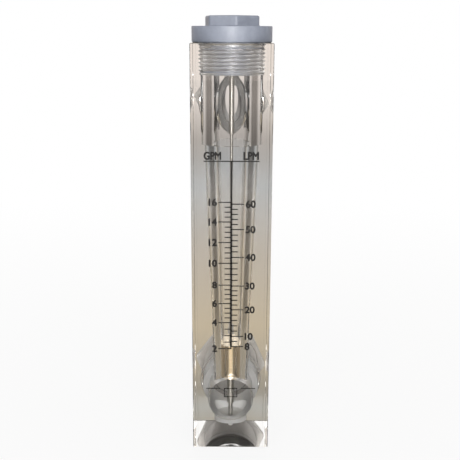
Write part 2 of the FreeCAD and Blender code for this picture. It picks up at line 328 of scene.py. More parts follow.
def cutter(name, profile, columns=BLOCK_COLUMNS, port_height=None):
    """Closed tool for one bore: rows of a profile, with both ends drawn to the axis."""
    turn = angles(columns)
    radii, heights = rows_of(profile, turn)
    points = revolve(radii, heights, turn)
    if port_height is not None:
        points = lay_over(points, port_height)
    return new_mesh(name, points, grid_faces(len(radii), columns).tolist())


def cut_away(block, tool):
    """Take a tool away from the block, then delete the tool."""
    cut = block.modifiers.new(tool.name, "BOOLEAN")
    cut.operation = "DIFFERENCE"
    cut.solver = "EXACT"
    cut.object = tool
    graph = bpy.context.evaluated_depsgraph_get()
    mesh = bpy.data.meshes.new_from_object(block.evaluated_get(graph))
    block.modifiers.clear()
    block.data = mesh
    bpy.data.objects.remove(tool)


def read_array(items, attribute, width=1, kind=float):
    """Values of one attribute of all items, one row of the given width for each."""
    values = np.empty(len(items) * width, kind)
    items.foreach_get(attribute, values)
    return values if width == 1 else values.reshape(-1, width)


def round_axis(points, axis):
    """Distance of points from a bore's axis, their angle round it and their length along it."""
    if axis == "main":
        side, up, along = points[:, 0], points[:, 1], points[:, 2]
    else:
        height = INLET_Z if axis == "inlet" else OUTLET_Z
        side, up, along = points[:, 0], height - points[:, 2], points[:, 1] - REAR
    return np.hypot(side, up), np.arctan2(up, side), along


def wall_normals(points, axis, low, high, radius_of):
    """Normals of a bore wall whose radius is R(angle, along): they point to the axis.

    Each is minus the radial direction, plus the slope of R round the axis over R, plus its slope
    along the axis. The slopes are differences over a small step each way.
    """
    small_turn = 1e-4
    small = 0.001 * MM
    _, angle, along = round_axis(points, axis)
    along = np.clip(along, low + small, high - small)
    round_slope = radius_of(angle + small_turn, along) - radius_of(angle - small_turn, along)
    lean = round_slope / (2 * small_turn) / radius_of(angle, along)
    long_slope = (radius_of(angle, along + small) - radius_of(angle, along - small)) / (2 * small)
    side = -np.cos(angle) - lean * np.sin(angle)
    up = -np.sin(angle) + lean * np.cos(angle)
    if axis == "main":
        normals = np.stack([side, up, long_slope], -1)
    else:
        normals = np.stack([side, long_slope, -up], -1)
    return normals / np.linalg.norm(normals, axis=1)[:, None]


def bore_normals(mesh):
    """Give the bore walls the normals of their radius functions, so that they refract as true rounds.

    A face belongs to a wall if its centre lies on it and the face isn't a step across the axis.
    """
    near = 0.06 * MM
    across_axis = 0.9
    centres = read_array(mesh.polygons, "center", 3)
    flat = read_array(mesh.polygons, "normal", 3)
    owner = np.repeat(np.arange(len(centres)), read_array(mesh.polygons, "loop_total", kind=int))
    at = read_array(mesh.loops, "vertex_index", kind=int)
    places = read_array(mesh.vertices, "co", 3)[at]
    normals = flat[owner].copy()
    for axis, low, high, radius_of in BORE_WALLS:
        radius, angle, along = round_axis(centres, axis)
        on_wall = np.abs(radius - radius_of(angle, along)) < near
        inside = (along > low) & (along < high)
        lengthwise = np.abs(flat[:, 2] if axis == "main" else flat[:, 1])
        mine = (on_wall & inside & (lengthwise < across_axis))[owner]
        normals[mine] = wall_normals(places[mine], axis, low, high, radius_of)
    mesh.shade_smooth()
    mesh.normals_split_custom_set(normals.tolist())


def make_block(material):
    """Acrylic block: the outer prism less its main bore, two rear ports and the rod's socket."""
    block = block_shell()
    step = MOUTH_THREAD_STEP
    main = [
        (0.0, TOP + PAST),
        (MOUTH_RADIUS + SEAL_SEAT + PAST, TOP + PAST),
        (MOUTH_RADIUS, TOP - SEAL_SEAT),
        (steps(TOP - SEAL_SEAT - step, SHANK_END + step, step), mouth_thread),
        (MOUTH_RADIUS, SHANK_END),
        (CHAMBER_RADIUS, SHANK_END),
        (CHAMBER_RADIUS, CHAMBER_FLOOR),
        (TAPER_TOP_RADIUS, CHAMBER_FLOOR),
        (TAPER_LOW_RADIUS, TAPER_LOW_Z),
        (TAPER_LOW_RADIUS, SUMP_FLOOR),
        (0.0, SUMP_FLOOR),
    ]
    cut_away(block, cutter("main_tool", main))
    step = PORT_THREAD_STEP
    entry = [
        (0.0, PAST),
        (PORT_RADIUS + SEAL_SEAT + PAST, PAST),
        (PORT_RADIUS, -SEAL_SEAT),
        (steps(-SEAL_SEAT - step, -PORT_LENGTH + step, step), port_thread),
        (PORT_RADIUS, -PORT_LENGTH),
    ]
    inlet = entry + [
        (INLET_CHAMBER_RADIUS, -PORT_LENGTH),
        (INLET_CHAMBER_RADIUS, INLET_CHAMBER_END),
        (0.0, INLET_CHAMBER_END),
    ]
    cut_away(block, cutter("inlet_tool", inlet, port_height=INLET_Z))
    outlet = entry + [(PORT_RADIUS, OUTLET_END), (0.0, OUTLET_END)]
    cut_away(block, cutter("outlet_tool", outlet, port_height=OUTLET_Z))
    socket = ROD_RADIUS + ROD_SLACK
    socket_profile = [(0.0, INLET_Z), (socket, INLET_Z), (socket, rod_low.z), (0.0, rod_low.z)]
    cut_away(block, cutter("socket_tool", socket_profile, columns=SOCKET_COLUMNS))
    block.name = "acrylic_block"
    block.data.name = "acrylic_block"
    bore_normals(block.data)
    return dress(block, material, "acrylic", "meter", "body_block")


# ---------------------------------------------------------------- plug, adapters, nuts, seals

def soft_hexagon(turn, flats, corner_limit, first):
    """Radius of a hexagon whose corners are eased by a circle.

    The straight sides give half the flats over the cosine of the angle from the nearest side's
    middle, and a soft minimum with the corner circle rounds the six corners.
    """
    step = math.pi / 3
    from_middle = np.mod(turn - first, step) - step / 2
    straight = flats / 2 / np.cos(from_middle)
    sharpness = 9.0 / MM
    return -np.log(np.exp(-sharpness * straight) + np.exp(-sharpness * corner_limit)) / sharpness


PLUG_COLUMNS = 384
PLUG_HEX_FLATS = 31.7 * MM
PLUG_HEX_TURN = math.radians(39)
PLUG_HEX_RISE = 6.3 * MM
PLUG_HEX_CORNER_EASE = 0.35 * MM
PLUG_HEX_FILLET = 0.8 * MM
PLUG_HEX_ROUNDING = 1.2 * MM
PLUG_TOP_RING = 11.0 * MM
FLANGE_RIM = 1.2 * MM
FLANGE_EDGE = 0.35 * MM
SHANK_RADIUS = MOUTH_RADIUS - THREAD_SLACK
SHANK_CHAMFER = 1.0 * MM
SHANK_THREAD_LOW = SHANK_END + 0.5 * MM
SHANK_THREAD_TOP = TOP - SEAL_SEAT - 0.4 * MM
ROD_HOLE_CHAMFER = 0.3 * MM


def shank_thread(angle, z):
    """External thread of the plug's shank, a slack inside the mouth's thread."""
    return thread(angle, z, SHANK_RADIUS, MOUTH_THREAD_HALF_DEPTH, MOUTH_PITCH, SHANK_THREAD_LOW,
                  SHANK_THREAD_TOP, MOUTH_PITCH)


def plug_head(inset):
    """Radius function of the plug's hexagon head, drawn in by an inset."""
    corner = PLUG_HEX_FLATS / math.sqrt(3) - PLUG_HEX_CORNER_EASE
    return lambda angle, z: soft_hexagon(angle, PLUG_HEX_FLATS, corner, PLUG_HEX_TURN) - inset


def make_plug(material):
    """Plug in one turned and milled grid: rod hole, screwed shank, flange, hexagon head.

    The head grows out of the flange by a quarter-round fillet and ends in a quarter-round edge.
    """
    turn = angles(PLUG_COLUMNS, PLUG_HEX_TURN)
    flange = (plug_high.x - plug_low.x) / 2
    flange_top = plug_high.z - PLUG_HEX_RISE
    hole = ROD_RADIUS + ROD_SLACK
    profile = [(0.0, rod_high.z), (hole, rod_high.z), (hole, SHANK_END + ROD_HOLE_CHAMFER),
               (hole + ROD_HOLE_CHAMFER, SHANK_END), (SHANK_RADIUS - SHANK_CHAMFER, SHANK_END)]
    profile += [(steps(SHANK_THREAD_LOW, SHANK_THREAD_TOP, MOUTH_THREAD_STEP), shank_thread)]
    profile += [(SHANK_RADIUS, TOP)]
    profile += rim(flange - FLANGE_RIM, TOP + FLANGE_RIM, FLANGE_RIM, (-1, 0))
    profile += rim(flange - FLANGE_EDGE, flange_top - FLANGE_EDGE, FLANGE_EDGE, (0, 1), count=5)
    for bend in np.linspace(0, math.pi / 2, 4):
        profile.append(([flange_top + PLUG_HEX_FILLET * (1 - math.cos(bend))],
                        plug_head(-PLUG_HEX_FILLET * (1 - math.sin(bend)))))
    for bend in np.linspace(0, math.pi / 2, 7):
        profile.append(([plug_high.z - PLUG_HEX_ROUNDING * (1 - math.sin(bend))],
                        plug_head(PLUG_HEX_ROUNDING * (1 - math.cos(bend)))))
    profile += [(PLUG_TOP_RING, plug_high.z), (0.0, plug_high.z)]
    radii, heights = rows_of(profile, turn)
    points = revolve(radii, heights, turn)
    faces = grid_faces(len(radii), PLUG_COLUMNS).tolist()
    plug = new_mesh("screw_plug", points, faces, sharp_angle=35.0)
    return dress(plug, material, "grey_pvc", "meter", "top_plug")


# Adapters: lengths count from the block's rear face, negative into it.
ADAPTER_COLUMNS = 160
ADAPTER_REACH = inlet_high.y - REAR
ADAPTER_BORE_RADIUS = 12.75 * MM
ADAPTER_EDGE = 0.3 * MM
# The nipple ends just short of the port's step, so that the two faces stay apart.
NIPPLE_END = -PORT_LENGTH + 0.1 * MM
NIPPLE_RADIUS = PORT_RADIUS - THREAD_SLACK
NIPPLE_THREAD_START = -PORT_LENGTH + 0.6 * MM
NIPPLE_THREAD_END = -SEAL_SEAT - 0.3 * MM
COLLAR_RADIUS = 21.75 * MM
COLLAR_LENGTH = 4.0 * MM
COLLAR_CHAMFER = 0.6 * MM
BARREL_RADIUS = 19.5 * MM
BARREL_THREAD_START = COLLAR_LENGTH + 0.6 * MM
BARREL_RUN_OUT = 2.0 * MM
BARREL_CHAMFER = 0.7 * MM
OPEN_THREAD_END = ADAPTER_REACH - 0.5 * MM
PIPE_THREAD_START = ADAPTER_REACH - 19.0 * MM
PIPE_MOUTH_CHAMFER = 0.8 * MM
PIPE_MOUTH_LENGTH = 0.6 * MM
WRENCH_FLAT = 18.5 * MM
WRENCH_FLAT_LENGTH = 9.0 * MM


def barrel_thread(angle, along):
    """External thread of the barrel, from its relief at the collar to its free end."""
    return thread(angle, along, BARREL_RADIUS, PORT_THREAD_HALF_DEPTH, PORT_PITCH, BARREL_THREAD_START,
                  OPEN_THREAD_END, BARREL_RUN_OUT)


def pipe_thread(angle, along):
    """Internal 1 inch pipe thread at the free end."""
    return thread(angle, along, PIPE_RADIUS, PIPE_THREAD_HALF_DEPTH, PIPE_PITCH, PIPE_THREAD_START,
                  OPEN_THREAD_END, PIPE_PITCH)


def nipple_thread(angle, along):
    """External thread of the nipple, a slack inside the port's thread."""
    return thread(angle, along, NIPPLE_RADIUS, PORT_THREAD_HALF_DEPTH, PORT_PITCH, NIPPLE_THREAD_START,
                  NIPPLE_THREAD_END, PORT_PITCH)


def make_adapter(port, height, material):
    """Adapter: one closed turned section with three threads, then two flats milled on the barrel."""
    turn = angles(ADAPTER_COLUMNS)
    edge = ADAPTER_EDGE
    profile = [(ADAPTER_BORE_RADIUS, NIPPLE_END + edge), (ADAPTER_BORE_RADIUS + edge, NIPPLE_END),
               (NIPPLE_RADIUS - edge, NIPPLE_END)]
    profile += [(steps(NIPPLE_THREAD_START, NIPPLE_THREAD_END, FITTING_THREAD_STEP), nipple_thread)]
    profile += [(NIPPLE_RADIUS, 0.0), (COLLAR_RADIUS - edge, 0.0), (COLLAR_RADIUS, edge),
                (COLLAR_RADIUS, COLLAR_LENGTH - COLLAR_CHAMFER),
                (COLLAR_RADIUS - COLLAR_CHAMFER, COLLAR_LENGTH), (BARREL_RADIUS, COLLAR_LENGTH)]
    profile += [(steps(BARREL_THREAD_START, ADAPTER_REACH - BARREL_CHAMFER, FITTING_THREAD_STEP),
                 barrel_thread)]
    profile += [(BARREL_RADIUS - BARREL_CHAMFER, ADAPTER_REACH),
                (PIPE_RADIUS + PIPE_MOUTH_CHAMFER, ADAPTER_REACH)]
    profile += [(steps(ADAPTER_REACH - PIPE_MOUTH_LENGTH, PIPE_THREAD_START, PIPE_THREAD_STEP),
                 pipe_thread)]
    profile += [(ADAPTER_BORE_RADIUS, PIPE_THREAD_START)]
    radii, heights = rows_of(profile, turn)
    points = revolve(radii, heights, turn)
    milled = heights > ADAPTER_REACH - WRENCH_FLAT_LENGTH
    points[..., 0] = np.where(milled, np.clip(points[..., 0], -WRENCH_FLAT, WRENCH_FLAT), points[..., 0])
    points = lay_over(points, height)
    faces = grid_faces(len(radii), ADAPTER_COLUMNS, closed=True).tolist()
    adapter = new_mesh(port + "_screw_adapter", points, faces, sharp_angle=35.0)
    return dress(adapter, material, "grey_pvc", "meter", port + "_adapter")


NUT_COLUMNS = 192
NUT_FLATS = 46.2 * MM
NUT_TURN = math.radians(7)
NUT_EDGE = 0.25 * MM
NUT_CORNER_EASE = 0.3 * MM
# The outer corners are turned off at about 30 degrees: so far inwards over so much of the height.
NUT_CORNER_CUT = 2.4 * MM
NUT_CORNER_LENGTH = 1.4 * MM
NUT_FACE_DRAW_IN = 0.1 * MM
NUT_MOUTH_RADIUS = BARREL_RADIUS + 1.2 * MM
NUT_MOUTH_LENGTH = 0.5 * MM


def nut_outside(inset, drop):
    """Radius function of the nut's hexagon, drawn in by an inset, its corners cut by a drop."""
    limit = NUT_FLATS / math.sqrt(3) - NUT_CORNER_EASE - drop
    return lambda angle, along: soft_hexagon(angle, NUT_FLATS, limit, NUT_TURN) - inset


def nut_thread(angle, along):
    """Internal thread of the nut, a slack outside the barrel's."""
    return barrel_thread(angle, along) + THREAD_SLACK


def make_nut(port, height, material):
    """Panel nut: a hexagon ring, its outer corners turned off, threaded inside."""
    turn = angles(NUT_COLUMNS, NUT_TURN)
    near = nut_low.y - REAR
    far = nut_high.y - REAR
    profile = [
        ([near], nut_outside(NUT_EDGE, 0.0)),
        ([near + NUT_EDGE], nut_outside(0.0, 0.0)),
        ([far - NUT_CORNER_LENGTH], nut_outside(0.0, 0.0)),
        ([far - NUT_CORNER_LENGTH / 2], nut_outside(0.0, NUT_CORNER_CUT / 2)),
        ([far], nut_outside(NUT_FACE_DRAW_IN, NUT_CORNER_CUT)),
        (NUT_MOUTH_RADIUS, far),
        (steps(far - NUT_MOUTH_LENGTH, near + NUT_MOUTH_LENGTH, FITTING_THREAD_STEP), nut_thread),
        (NUT_MOUTH_RADIUS, near),
    ]
    radii, heights = rows_of(profile, turn)
    points = lay_over(revolve(radii, heights, turn), height)
    faces = grid_faces(len(radii), NUT_COLUMNS, closed=True).tolist()
    nut = new_mesh(port + "_hexagon_nut", points, faces, sharp_angle=28.0)
    return dress(nut, material, "grey_pvc", "meter", port + "_panel_nut")


def make_seal(name, seat_radius, node, material, height=None):
    """O-ring in its three-cornered seat: a torus that all but touches the seat's three faces.

    A circle of the section's radius is carried round the seat's axis. The inscribed circle of a seat with
    two equal legs has a radius of the leg times 1 - 1/sqrt(2).
    """
    fit = 0.98
    sides, columns = 24, 160
    section = SEAL_SEAT * (1 - 1 / math.sqrt(2)) * fit
    across = angles(sides)[:, None]
    turn = angles(columns)[None, :]
    radii = seat_radius + section + section * np.cos(across) + 0 * turn
    depth = section * np.sin(across) - section + 0 * turn
    points = revolve(radii, depth, turn + 0 * across)
    if height is None:
        points = points + np.array([0, 0, TOP])
    else:
        points = lay_over(points, height)
    faces = grid_faces(sides, columns, closed=True).tolist()
    seal = new_mesh(name, points, faces, sharp_angle=80.0)
    return dress(seal, material, "seal_rubber", "meter", node)


# ---------------------------------------------------------------- rod, sleeves, float

ROD_COLUMNS = 96
FLOAT_COLUMNS = 160


def make_lathed(name, profile, node, body, material, slot, columns, closed=True):
    """Turned metal piece: its section carried round the Z axis.

    A closed section leaves a bore, and an open one ends on the axis.
    """
    turn = angles(columns)
    radii, heights = rows_of(profile, turn)
    points = revolve(radii, heights, turn)
    faces = grid_faces(len(radii), columns, closed).tolist()
    piece = new_mesh(name, points, faces, sharp_angle=25.0)
    return dress(piece, material, slot, body, node)


def make_rod(material):
    """Guide rod with chamfered ends."""
    ease = 0.3 * MM
    profile = [(0.0, rod_low.z), (ROD_RADIUS - ease, rod_low.z), (ROD_RADIUS, rod_low.z + ease),
               (ROD_RADIUS, rod_high.z - ease), (ROD_RADIUS - ease, rod_high.z), (0.0, rod_high.z)]
    return make_lathed("ground_rod", profile, "guide_rod", "meter", material, "rod_steel", ROD_COLUMNS,
                       closed=False)


def make_sleeve(name, node, material):
    """Float stop: a tube on the rod with broken edges."""
    low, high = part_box(node)
    ease = 0.2 * MM
    inner = ROD_RADIUS + ROD_SLACK
    profile = [(inner, low.z), (SLEEVE_RADIUS - ease, low.z), (SLEEVE_RADIUS, low.z + ease),
               (SLEEVE_RADIUS, high.z - ease), (SLEEVE_RADIUS - ease, high.z), (inner, high.z)]
    return make_lathed(name, profile, node, "meter", material, "rod_steel", ROD_COLUMNS)


def make_float(material):
    """Float: a bored cylinder, its upper rim the sharp reading edge, its lower rim chamfered."""
    radius = (float_high.x - float_low.x) / 2
    bore = ROD_RADIUS + 0.3 * MM
    ease = 0.4 * MM
    chamfer = 0.6 * MM
    crisp = 0.08 * MM
    profile = [(bore + ease, float_low.z), (radius - chamfer, float_low.z),
               (radius, float_low.z + chamfer), (radius, float_high.z - crisp),
               (radius - crisp, float_high.z), (bore + ease, float_high.z),
               (bore, float_high.z - ease), (bore, float_low.z + ease)]
    return make_lathed("metal_float", profile, "float", "float", material, "float_steel", FLOAT_COLUMNS)


# ---------------------------------------------------------------- printed scale

INK_THICKNESS = 0.02 * MM
# The ink stands this far off the face, so that the two surfaces stay apart.
INK_LIFT = INK_THICKNESS * 0.2
# The print is no node of its own; it is given the grey plastic's slot name, which dress doesn't use.
INK_SLOT = "grey_pvc"
SCALE_TOP = 198.7 * MM
SCALE_FOOT = 73.2 * MM
MAIN_LINE = 0.95 * MM
HEADER_HALF_WIDTH = 17.4 * MM
TICK_LINE = 0.7 * MM
LONG_TICK = 8.2 * MM
SHORT_TICK = 4.2 * MM
NUMBER_HEIGHT = 5.0 * MM
NUMBER_START = 9.3 * MM
BOLD_GROWTH = 0.26 * MM
BOLD_COPIES = 8
UNIT_HEIGHT = 5.2 * MM
UNIT_WIDTH = 0.82
UNIT_Z = SCALE_TOP + 3.4 * MM
GALLON_UNIT_X = -11.9 * MM
LITRE_UNIT_X = 12.2 * MM
SIGN_Z = 41.2 * MM
SIGN_LINE = 0.6 * MM
SIGN_WIDTH = 9.0 * MM
SIGN_HALF_HEIGHT = 3.4 * MM
SIGN_STROKE = (7.0 * MM, 16.5 * MM)
# Printed values and the heights of their marks in mm. The scale isn't even, because the bore widens.
GALLONS = {16: 172.6, 14: 159.8, 12: 146.3, 10: 132.4, 8: 117.6, 6: 104.9, 4: 91.6, 2: 73.2}
LITRES = {60: 171.4, 50: 154.9, 40: 136.4, 30: 117.0, 20: 100.6, 10: 81.9, 8: 74.7}
# Divisions between each two values, from the lowest up.
GALLON_DIVISIONS = [4] * 7
LITRE_DIVISIONS = [2] + [5] * 5


def bars_mesh(name, bars):
    """Closed thin boxes of ink on the front face, one for each bar of x0, x1, z0, z1."""
    bars = np.array(bars)
    x = bars[:, [0, 1, 1, 0, 0, 1, 1, 0]]
    z = bars[:, [2, 2, 3, 3, 2, 2, 3, 3]]
    y = np.broadcast_to(FRONT - INK_LIFT - np.repeat([INK_THICKNESS, 0.0], 4), x.shape)
    points = np.stack([x, y, z], -1)
    box = np.array([[0, 1, 2, 3], [7, 6, 5, 4], [0, 4, 5, 1], [1, 5, 6, 2], [2, 6, 7, 3], [3, 7, 4, 0]])
    faces = (np.arange(len(bars))[:, None, None] * 8 + box).reshape(-1, 4).tolist()
    mesh = bpy.data.meshes.new(name)
    mesh.from_pydata(points.reshape(-1, 3).tolist(), [], faces)
    return link_object(name, mesh)


def tick_heights(marks, divisions):
    """Heights of the marks and of the even divisions between each two of them."""
    values = sorted(marks)
    long_ticks = [marks[value] * MM for value in values]
    short_ticks = []
    for low, high, count in zip(values, values[1:], divisions):
        share = np.arange(1, count) / count
        short_ticks += list((marks[low] + (marks[high] - marks[low]) * share) * MM)
    return long_ticks, short_ticks


def make_scale_lines(material):
    """Header line, centre line and the ticks of both scales."""
    half = TICK_LINE / 2
    bars = [(-MAIN_LINE / 2, MAIN_LINE / 2, SCALE_FOOT - half, SCALE_TOP),
            (-HEADER_HALF_WIDTH, HEADER_HALF_WIDTH, SCALE_TOP - half, SCALE_TOP + half)]
    for side, marks, divisions in ((-1, GALLONS, GALLON_DIVISIONS), (1, LITRES, LITRE_DIVISIONS)):
        long_ticks, short_ticks = tick_heights(marks, divisions)
        for reach, heights in ((LONG_TICK, long_ticks), (SHORT_TICK, short_ticks)):
            ends = sorted((0.0, side * reach))
            bars += [(ends[0], ends[1], z - half, z + half) for z in heights]
    lines = bars_mesh("scale_lines", bars)
    return dress(lines, material, INK_SLOT, "meter")


def flat_letters(words):
    """Mesh of words in the built-in typeface, upright in its own plane and a little thick."""
    curve = bpy.data.curves.new("words", "FONT")
    curve.body = words
    curve.size = 1.0
    curve.resolution_u = 6
    curve.fill_mode = "BOTH"
    curve.extrude = 0.01
    holder = link_object("words", curve)
    bpy.context.view_layer.update()
    mesh = bpy.data.meshes.new_from_object(holder.evaluated_get(bpy.context.evaluated_depsgraph_get()))
    bpy.data.objects.remove(holder)
    return mesh


def lettering(words, height, x, z, align, width=1.0):
    """Meshes of a word or number on the front face: flat letters given the ink's thickness.

    The letters are scaled to the asked height, and width draws them narrower or wider. Their middle
    lies at z, and their left edge, centre or right edge at x. They are laid down once in place and
    then round a small circle, which makes the strokes bold; each copy lies a little further out.
    """
    layer_lift = 0.03
    mesh = flat_letters(words)
    places = read_array(mesh.vertices, "co", 3)
    low, high = places.min(0), places.max(0)
    scale = (height - 2 * BOLD_GROWTH) / (high[1] - low[1])
    anchor = {"left": low[0], "centre": (low[0] + high[0]) / 2, "right": high[0]}[align]
    thickness = (places[:, 2] - low[2]) / (high[2] - low[2])
    copies = []
    for layer in range(1 + BOLD_COPIES):
        turn = layer * 2 * math.pi / BOLD_COPIES
        growth = BOLD_GROWTH if layer else 0.0
        lift = INK_LIFT + INK_THICKNESS * layer_lift * layer
        placed = np.empty_like(places)
        placed[:, 0] = x + (places[:, 0] - anchor) * scale * width + growth * math.cos(turn)
        placed[:, 1] = FRONT - lift - thickness * INK_THICKNESS
        placed[:, 2] = z + (places[:, 1] - (low[1] + high[1]) / 2) * scale + growth * math.sin(turn)
        copies.append(mesh.copy())
        copies[-1].vertices.foreach_set("co", placed.ravel())
        copies[-1].update()
    return copies


def join_meshes(name, meshes):
    """One object of several meshes."""
    work = bmesh.new()
    for mesh in meshes:
        work.from_mesh(mesh)
    whole = bpy.data.meshes.new(name)
    work.to_mesh(whole)
    work.free()
    return link_object(name, whole)


def make_scale_numbers(material):
    """Numbers of both scales and the two units."""
    meshes = []
    for value, height in GALLONS.items():
        meshes += lettering(str(value), NUMBER_HEIGHT, -NUMBER_START, height * MM, "right")
    for value, height in LITRES.items():
        meshes += lettering(str(value), NUMBER_HEIGHT, NUMBER_START, height * MM, "left")
    meshes += lettering("GPM", UNIT_HEIGHT, GALLON_UNIT_X, UNIT_Z, "centre", UNIT_WIDTH)
    meshes += lettering("LPM", UNIT_HEIGHT, LITRE_UNIT_X, UNIT_Z, "centre", UNIT_WIDTH)
    numbers = join_meshes("scale_numbers", meshes)
    return dress(numbers, material, INK_SLOT, "meter")


def make_reading_sign(material):
    """Plain sign for where to read: a float's outline between two strokes level with its upper edge."""
    side, line = SIGN_WIDTH / 2, SIGN_LINE
    low, high = SIGN_Z - SIGN_HALF_HEIGHT, SIGN_Z + SIGN_HALF_HEIGHT
    near, far = SIGN_STROKE
    bars = [
        (-side, side, high - line, high),
        (-side, side, low, low + line),
        (-side, -side + line, low, high),
        (side - line, side, low, high),
        (-far, -near, high - line, high),
        (near, far, high - line, high),
    ]
    sign = bars_mesh("reading_sign", bars)
    return dress(sign, material, INK_SLOT, "meter")


# ---------------------------------------------------------------- materials

ACRYLIC_IOR = 1.49


def colour(code):
    """Linear colour of an sRGB hex value."""
    parts = np.array([int(code[i:i + 2], 16) for i in (1, 3, 5)]) / 255
    linear = np.where(parts <= 0.04045, parts / 12.92, ((parts + 0.055) / 1.055) ** 2.4)
    return (*linear.tolist(), 1.0)


def set_stops(elements, stops):
    """Give a colour ramp its stops of place and colour; a new ramp has two."""
    elements[0].position, elements[0].color = stops[0]
    elements[1].position, elements[1].color = stops[-1]
    for place, value in stops[1:-1]:
        elements.new(place).color = value


def add_node(tree, kind, settings=None, links=None):
    """Add one node. Settings name a property, an input or a ramp's stops; links feed its inputs."""
    node = tree.nodes.new(kind)
    for name, value in (settings or {}).items():
        if name == "stops":
            set_stops(node.color_ramp.elements, value)
        elif isinstance(name, str) and hasattr(node, name):
            setattr(node, name, value)
        else:
            node.inputs[name].default_value = value
    for name, output in (links or {}).items():
        tree.links.new(output, node.inputs[name])
    return node


def new_material(name):
    """Empty node material with its output."""
    material = bpy.data.materials.new(name)
    material.use_nodes = True
    material.node_tree.nodes.clear()
    return material, material.node_tree, add_node(material.node_tree, "ShaderNodeOutputMaterial")


def axis_distances(tree, place):
    """Distance of a point from the main bore's axis, and from the axis of the nearer rear port.

    Folding the height about the middle between the ports turns both port axes into one.
    """
    split = add_node(tree, "ShaderNodeSeparateXYZ", None, {0: place})
    x, y, z = split.outputs
    flat = add_node(tree, "ShaderNodeCombineXYZ", None, {0: x, 1: y})
    main = add_node(tree, "ShaderNodeVectorMath", {"operation": "LENGTH"}, {0: flat.outputs[0]})
    middle = (INLET_Z + OUTLET_Z) / 2
    centred = add_node(tree, "ShaderNodeMath", {"operation": "SUBTRACT", 1: middle}, {0: z})
    folded = add_node(tree, "ShaderNodeMath", {"operation": "ABSOLUTE"}, {0: centred.outputs[0]})
    height = add_node(tree, "ShaderNodeMath", {"operation": "SUBTRACT", 1: OUTLET_Z - middle},
                      {0: folded.outputs[0]})
    upright = add_node(tree, "ShaderNodeCombineXYZ", None, {0: x, 1: height.outputs[0]})
    port = add_node(tree, "ShaderNodeVectorMath", {"operation": "LENGTH"}, {0: upright.outputs[0]})
    return main.outputs["Value"], port.outputs["Value"], y, z


def where_all(tree, tests):
    """Product of tests, each 1 where a value lies over a limit or, for LESS_THAN, under it."""
    product = None
    for value, operation, limit in tests:
        test = add_node(tree, "ShaderNodeMath", {"operation": operation, 1: limit}, {0: value})
        if product is None:
            product = test.outputs[0]
        else:
            product = add_node(tree, "ShaderNodeMath", {"operation": "MULTIPLY"},
                               {0: product, 1: test.outputs[0]}).outputs[0]
    return product


def machined_walls(tree, place):
    """How satin a wall is: 1 in the ports, the inlet chamber and the sump, less in the mouth.

    The second value is 1 in the roots of the mouth's thread, which are greyed as painted shade.
    """
    main, port, y, z = axis_distances(tree, place)
    slack = 0.4 * MM
    mouth_satin = 0.3
    root_depth = 0.5 * MM
    mouth = where_all(tree, [(main, "LESS_THAN", MOUTH_RADIUS + SEAL_SEAT),
                             (main, "GREATER_THAN", CHAMBER_RADIUS),
                             (z, "GREATER_THAN", SHANK_END - slack),
                             (z, "LESS_THAN", TOP - slack)])
    ports = where_all(tree, [(port, "LESS_THAN", PORT_RADIUS + 2 * slack),
                             (port, "GREATER_THAN", INLET_CHAMBER_RADIUS - slack),
                             (main, "GREATER_THAN", TAPER_LOW_RADIUS + slack),
                             (y, "GREATER_THAN", FRONT + INLET_CHAMBER_WALL + slack),
                             (y, "LESS_THAN", REAR - slack),
                             (z, "LESS_THAN", INLET_Z + PORT_RADIUS + 2 * slack)])
    outlet = where_all(tree, [(port, "LESS_THAN", PORT_RADIUS + 2 * slack),
                              (port, "GREATER_THAN", PORT_RADIUS - 2 * slack),
                              (y, "GREATER_THAN", REAR - PORT_LENGTH), (y, "LESS_THAN", REAR - slack)])
    sump = where_all(tree, [(main, "LESS_THAN", TAPER_LOW_RADIUS + slack),
                            (z, "LESS_THAN", INLET_Z - INLET_CHAMBER_RADIUS / 2),
                            (z, "GREATER_THAN", rod_low.z + slack)])
    # The mouth's thread is chased finer than the rest, so it stays clearer.
    satin = add_node(tree, "ShaderNodeMath", {"operation": "MULTIPLY", 1: mouth_satin}, {0: mouth})
    for part in (ports, outlet, sump):
        satin = add_node(tree, "ShaderNodeMath", {"operation": "MAXIMUM"}, {0: satin.outputs[0], 1: part})
    roots = where_all(tree, [(mouth, "GREATER_THAN", 0.5),
                             (main, "GREATER_THAN", MOUTH_RADIUS + root_depth),
                             (z, "LESS_THAN", TOP - SEAL_SEAT - slack)])
    return satin.outputs[0], roots


def lamp_light_through(tree, machined):
    """Shader of the acrylic for shadow rays, which lets lamps shine straight through it.

    A polished face turns light back at a slant, and a machined one keeps three tenths, so that it
    throws a soft shade.
    """
    turned_back = add_node(tree, "ShaderNodeFresnel", {"IOR": ACRYLIC_IOR})
    passed = add_node(tree, "ShaderNodeValToRGB",
                      {"stops": [(0.0, (1, 1, 1, 1)), (1.0, (0.02, 0.02, 0.02, 1))]},
                      {"Fac": turned_back.outputs["Fac"]})
    shade = add_node(tree, "ShaderNodeMapRange", {"To Min": 1.0, "To Max": 0.7}, {"Value": machined})
    passed = add_node(tree, "ShaderNodeVectorMath", {"operation": "SCALE"},
                      {0: passed.outputs["Color"], "Scale": shade.outputs["Result"]})
    return add_node(tree, "ShaderNodeBsdfTransparent", None, {"Color": passed.outputs[0]})


